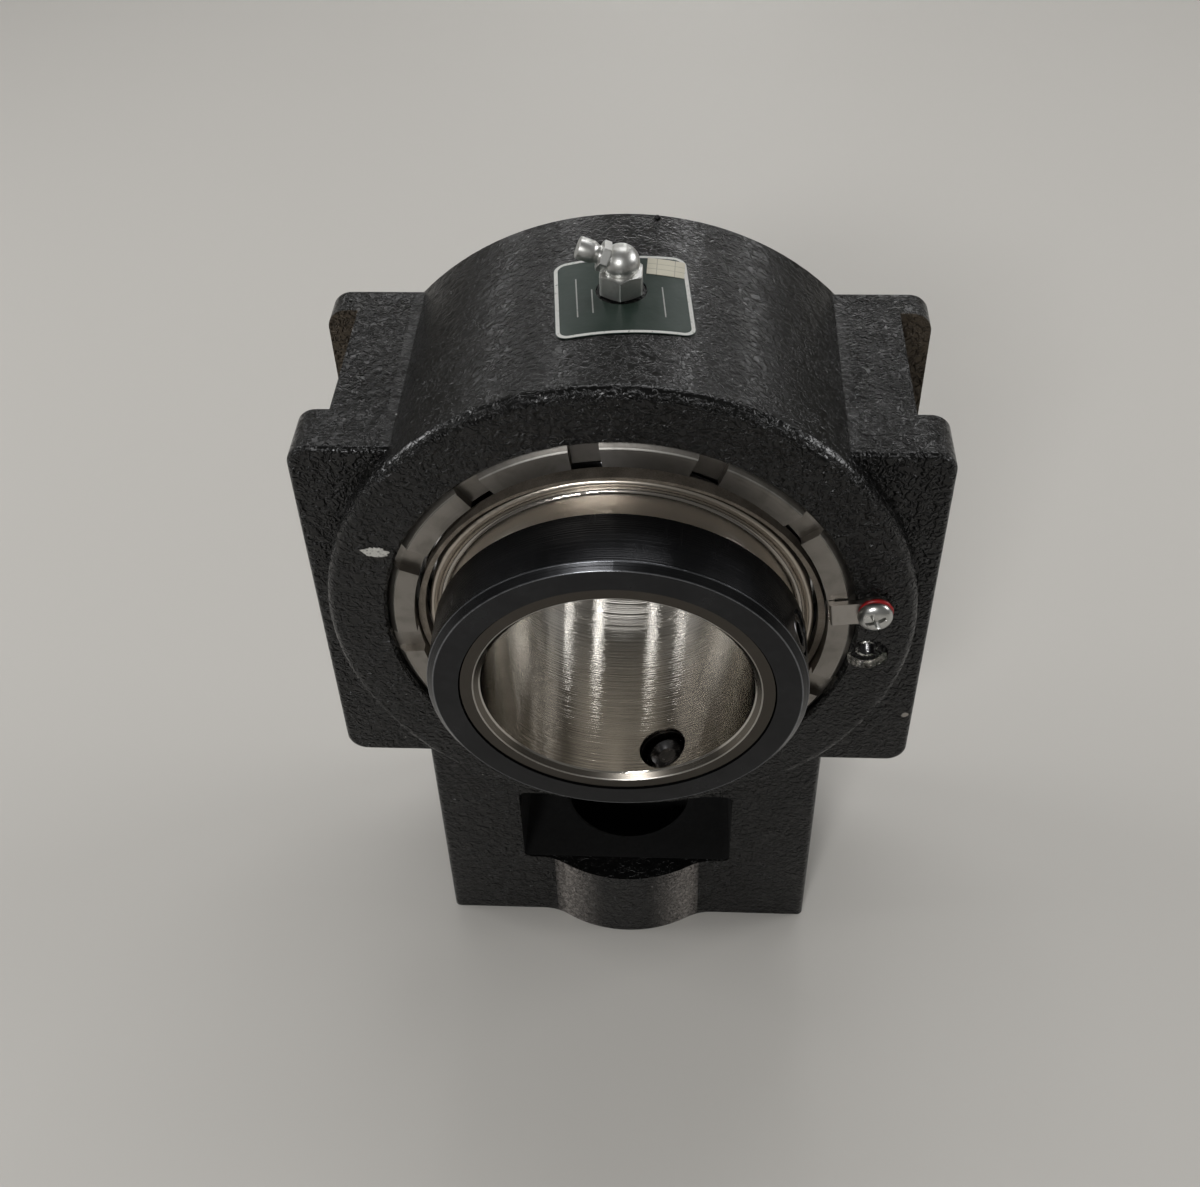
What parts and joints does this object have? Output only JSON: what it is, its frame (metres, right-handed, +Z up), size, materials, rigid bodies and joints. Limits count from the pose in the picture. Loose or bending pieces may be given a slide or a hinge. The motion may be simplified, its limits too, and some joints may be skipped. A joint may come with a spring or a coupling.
{
  "type": "take-up bearing",
  "caption": "Self-aligning roller bearing in a cast take-up housing with guide grooves, a window for the adjusting screw, a lock collar and a notched nut.",
  "frame": {"origin": "centre of the bearing, on the axis of the shaft bore, where the raceway sphere is centred", "axes": "+Y from the front, which has the lock collar and the notched nut, to the back, along the housing's own bore; +Z up, from the base end with the hole for the adjusting screw towards the grease nipple; +X to the right seen from the front"},
  "size_m": [0.174, 0.1075, 0.2495],
  "materials": {
    "housing_paint": "semi-gloss black paint over a sand casting",
    "bearing_steel": "ground and polished",
    "nut_steel": "satin grey",
    "lock_plate_steel": "dull plated",
    "zinc_screw": "bright zinc plate",
    "red_wax": "glossy red",
    "zinc_fitting": "bright zinc plate",
    "spring_steel": "bright wire",
    "nameplate_foil": "dark green foil with a white border",
    "sticker_paper": "cream paper",
    "collar_steel": "blue-black oxide with bright chamfers",
    "set_screw_steel": "black oxide",
    "hub_steel": "bright satin",
    "shield_steel": "bright pressed steel",
    "wiper_fabric": "brown felted fabric",
    "guide_iron": "machined",
    "cage_steel": "pressed steel"
  },
  "bodies": {
    "housing": {"housing": "housing_paint", "outer_ring": "bearing_steel", "retaining_nut": "nut_steel", "lock_plate": "lock_plate_steel", "lock_screw": "zinc_screw", "sealing_wax": "red_wax", "grease_fitting": "zinc_fitting", "grease_nipple": "zinc_fitting", "nipple_spring": "spring_steel", "nameplate": "nameplate_foil", "sticker": "sticker_paper"},
    "seal_carrier": {"wiper_ring_front": "wiper_fabric", "wiper_ring_rear": "wiper_fabric"},
    "aligner": {"seal_shield_front": "shield_steel", "seal_shield_rear": "shield_steel", "guide_ring": "guide_iron"},
    "inner": {"inner_ring": "bearing_steel", "set_collar": "collar_steel", "set_screws": "set_screw_steel", "flinger_front": "hub_steel", "flinger_rear": "hub_steel"},
    "cage_front": {"cage_front": "cage_steel"},
    "cage_rear": {"cage_rear": "cage_steel"},
    "roller_front_01": {"roller_front_01": "bearing_steel"},
    "roller_front_02": {"roller_front_02": "bearing_steel"},
    "roller_front_03": {"roller_front_03": "bearing_steel"},
    "roller_front_04": {"roller_front_04": "bearing_steel"},
    "roller_front_05": {"roller_front_05": "bearing_steel"},
    "roller_front_06": {"roller_front_06": "bearing_steel"},
    "roller_front_07": {"roller_front_07": "bearing_steel"},
    "roller_front_08": {"roller_front_08": "bearing_steel"},
    "roller_front_09": {"roller_front_09": "bearing_steel"},
    "roller_front_10": {"roller_front_10": "bearing_steel"},
    "roller_front_11": {"roller_front_11": "bearing_steel"},
    "roller_front_12": {"roller_front_12": "bearing_steel"},
    "roller_rear_01": {"roller_rear_01": "bearing_steel"},
    "roller_rear_02": {"roller_rear_02": "bearing_steel"},
    "roller_rear_03": {"roller_rear_03": "bearing_steel"},
    "roller_rear_04": {"roller_rear_04": "bearing_steel"},
    "roller_rear_05": {"roller_rear_05": "bearing_steel"},
    "roller_rear_06": {"roller_rear_06": "bearing_steel"},
    "roller_rear_07": {"roller_rear_07": "bearing_steel"},
    "roller_rear_08": {"roller_rear_08": "bearing_steel"},
    "roller_rear_09": {"roller_rear_09": "bearing_steel"},
    "roller_rear_10": {"roller_rear_10": "bearing_steel"},
    "roller_rear_11": {"roller_rear_11": "bearing_steel"},
    "roller_rear_12": {"roller_rear_12": "bearing_steel"},
    "check_ball": {"check_ball": "bearing_steel"}
  },
  "joints": [
    {"name": "align_pitch", "type": "hinge", "parent": "housing", "child": "seal_carrier", "pos_m": [0, 0, 0], "axis": [1, 0, 0], "range_deg": [-6, 0]},
    {"name": "align_yaw", "type": "hinge", "parent": "seal_carrier", "child": "aligner", "pos_m": [0, 0, 0], "axis": [0, -0.0523, 0.9986], "range_deg": [-1.5, 1.5]},
    {"name": "shaft_spin", "type": "hinge", "parent": "aligner", "child": "inner", "pos_m": [0, 0, 0], "axis": [0, 0.9986, 0.0523], "continuous": true},
    {"name": "cage_front_spin", "type": "hinge", "parent": "aligner", "child": "cage_front", "pos_m": [0, 0, 0], "axis": [0, 0.9986, 0.0523], "continuous": true},
    {"name": "roller_front_01_spin", "type": "hinge", "parent": "cage_front", "child": "roller_front_01", "pos_m": [0.04878, -0.01397, -0.00073], "axis": [-0.2756, -0.9599, -0.0503], "continuous": true},
    {"name": "roller_front_02_spin", "type": "hinge", "parent": "cage_front", "child": "roller_front_02", "pos_m": [0.04225, -0.01525, 0.02363], "axis": [-0.2387, -0.9527, -0.1879], "continuous": true},
    {"name": "roller_front_03_spin", "type": "hinge", "parent": "cage_front", "child": "roller_front_03", "pos_m": [0.02439, -0.01618, 0.04146], "axis": [-0.1378, -0.9475, -0.2887], "continuous": true},
    {"name": "roller_front_04_spin", "type": "hinge", "parent": "cage_front", "child": "roller_front_04", "pos_m": [0, -0.01652, 0.04798], "axis": [0, -0.9455, -0.3256], "continuous": true},
    {"name": "roller_front_05_spin", "type": "hinge", "parent": "cage_front", "child": "roller_front_05", "pos_m": [-0.02439, -0.01618, 0.04146], "axis": [0.1378, -0.9475, -0.2887], "continuous": true},
    {"name": "roller_front_06_spin", "type": "hinge", "parent": "cage_front", "child": "roller_front_06", "pos_m": [-0.04225, -0.01525, 0.02363], "axis": [0.2387, -0.9527, -0.1879], "continuous": true},
    {"name": "roller_front_07_spin", "type": "hinge", "parent": "cage_front", "child": "roller_front_07", "pos_m": [-0.04878, -0.01397, -0.00073], "axis": [0.2756, -0.9599, -0.0503], "continuous": true},
    {"name": "roller_front_08_spin", "type": "hinge", "parent": "cage_front", "child": "roller_front_08", "pos_m": [-0.04225, -0.01269, -0.02509], "axis": [0.2387, -0.9672, 0.0873], "continuous": true},
    {"name": "roller_front_09_spin", "type": "hinge", "parent": "cage_front", "child": "roller_front_09", "pos_m": [-0.02439, -0.01176, -0.04292], "axis": [0.1378, -0.9724, 0.1881], "continuous": true},
    {"name": "roller_front_10_spin", "type": "hinge", "parent": "cage_front", "child": "roller_front_10", "pos_m": [0, -0.01142, -0.04945], "axis": [0, -0.9744, 0.225], "continuous": true},
    {"name": "roller_front_11_spin", "type": "hinge", "parent": "cage_front", "child": "roller_front_11", "pos_m": [0.02439, -0.01176, -0.04292], "axis": [-0.1378, -0.9724, 0.1881], "continuous": true},
    {"name": "roller_front_12_spin", "type": "hinge", "parent": "cage_front", "child": "roller_front_12", "pos_m": [0.04225, -0.01269, -0.02509], "axis": [-0.2387, -0.9672, 0.0873], "continuous": true},
    {"name": "cage_rear_spin", "type": "hinge", "parent": "aligner", "child": "cage_rear", "pos_m": [0, 0, 0], "axis": [0, 0.9986, 0.0523], "continuous": true},
    {"name": "roller_rear_01_spin", "type": "hinge", "parent": "cage_rear", "child": "roller_rear_01", "pos_m": [0.04712, 0.01331, 0.01334], "axis": [-0.2662, 0.9637, -0.0209], "continuous": true},
    {"name": "roller_rear_02_spin", "type": "hinge", "parent": "cage_rear", "child": "roller_rear_02", "pos_m": [0.0345, 0.01216, 0.03518], "axis": [-0.1949, 0.9701, -0.1443], "continuous": true},
    {"name": "roller_rear_03_spin", "type": "hinge", "parent": "cage_rear", "child": "roller_rear_03", "pos_m": [0.01263, 0.0115, 0.04779], "axis": [-0.0713, 0.9739, -0.2156], "continuous": true},
    {"name": "roller_rear_04_spin", "type": "hinge", "parent": "cage_rear", "child": "roller_rear_04", "pos_m": [-0.01263, 0.0115, 0.04779], "axis": [0.0713, 0.9739, -0.2156], "continuous": true},
    {"name": "roller_rear_05_spin", "type": "hinge", "parent": "cage_rear", "child": "roller_rear_05", "pos_m": [-0.0345, 0.01216, 0.03518], "axis": [0.1949, 0.9701, -0.1443], "continuous": true},
    {"name": "roller_rear_06_spin", "type": "hinge", "parent": "cage_rear", "child": "roller_rear_06", "pos_m": [-0.04712, 0.01331, 0.01334], "axis": [0.2662, 0.9637, -0.0209], "continuous": true},
    {"name": "roller_rear_07_spin", "type": "hinge", "parent": "cage_rear", "child": "roller_rear_07", "pos_m": [-0.04712, 0.01463, -0.01188], "axis": [0.2662, 0.9562, 0.1216], "continuous": true},
    {"name": "roller_rear_08_spin", "type": "hinge", "parent": "cage_rear", "child": "roller_rear_08", "pos_m": [-0.0345, 0.01578, -0.03372], "axis": [0.1949, 0.9497, 0.2449], "continuous": true},
    {"name": "roller_rear_09_spin", "type": "hinge", "parent": "cage_rear", "child": "roller_rear_09", "pos_m": [-0.01263, 0.01644, -0.04632], "axis": [0.0713, 0.946, 0.3162], "continuous": true},
    {"name": "roller_rear_10_spin", "type": "hinge", "parent": "cage_rear", "child": "roller_rear_10", "pos_m": [0.01263, 0.01644, -0.04632], "axis": [-0.0713, 0.946, 0.3162], "continuous": true},
    {"name": "roller_rear_11_spin", "type": "hinge", "parent": "cage_rear", "child": "roller_rear_11", "pos_m": [0.0345, 0.01578, -0.03372], "axis": [-0.1949, 0.9497, 0.2449], "continuous": true},
    {"name": "roller_rear_12_spin", "type": "hinge", "parent": "cage_rear", "child": "roller_rear_12", "pos_m": [0.04712, 0.01463, -0.01188], "axis": [-0.2662, 0.9562, 0.1216], "continuous": true},
    {"name": "check_ball_slide", "type": "slide", "parent": "housing", "child": "check_ball", "axis": [0.9272, 0, -0.3746], "range_m": [0, 0.0008], "stiffness_N_per_m": 200, "springref_m": -0.001, "deforming": ["nipple_spring"]}
  ],
  "couplings": [
    {"joint": "cage_front_spin", "follows": "shaft_spin", "ratio": 0.4335},
    {"joint": "roller_front_01_spin", "follows": "shaft_spin", "ratio": 3.5497},
    {"joint": "roller_front_02_spin", "follows": "shaft_spin", "ratio": 3.5497},
    {"joint": "roller_front_03_spin", "follows": "shaft_spin", "ratio": 3.5497},
    {"joint": "roller_front_04_spin", "follows": "shaft_spin", "ratio": 3.5497},
    {"joint": "roller_front_05_spin", "follows": "shaft_spin", "ratio": 3.5497},
    {"joint": "roller_front_06_spin", "follows": "shaft_spin", "ratio": 3.5497},
    {"joint": "roller_front_07_spin", "follows": "shaft_spin", "ratio": 3.5497},
    {"joint": "roller_front_08_spin", "follows": "shaft_spin", "ratio": 3.5497},
    {"joint": "roller_front_09_spin", "follows": "shaft_spin", "ratio": 3.5497},
    {"joint": "roller_front_10_spin", "follows": "shaft_spin", "ratio": 3.5497},
    {"joint": "roller_front_11_spin", "follows": "shaft_spin", "ratio": 3.5497},
    {"joint": "roller_front_12_spin", "follows": "shaft_spin", "ratio": 3.5497},
    {"joint": "cage_rear_spin", "follows": "shaft_spin", "ratio": 0.4335},
    {"joint": "roller_rear_01_spin", "follows": "shaft_spin", "ratio": -3.5497},
    {"joint": "roller_rear_02_spin", "follows": "shaft_spin", "ratio": -3.5497},
    {"joint": "roller_rear_03_spin", "follows": "shaft_spin", "ratio": -3.5497},
    {"joint": "roller_rear_04_spin", "follows": "shaft_spin", "ratio": -3.5497},
    {"joint": "roller_rear_05_spin", "follows": "shaft_spin", "ratio": -3.5497},
    {"joint": "roller_rear_06_spin", "follows": "shaft_spin", "ratio": -3.5497},
    {"joint": "roller_rear_07_spin", "follows": "shaft_spin", "ratio": -3.5497},
    {"joint": "roller_rear_08_spin", "follows": "shaft_spin", "ratio": -3.5497},
    {"joint": "roller_rear_09_spin", "follows": "shaft_spin", "ratio": -3.5497},
    {"joint": "roller_rear_10_spin", "follows": "shaft_spin", "ratio": -3.5497},
    {"joint": "roller_rear_11_spin", "follows": "shaft_spin", "ratio": -3.5497},
    {"joint": "roller_rear_12_spin", "follows": "shaft_spin", "ratio": -3.5497}
  ]
}
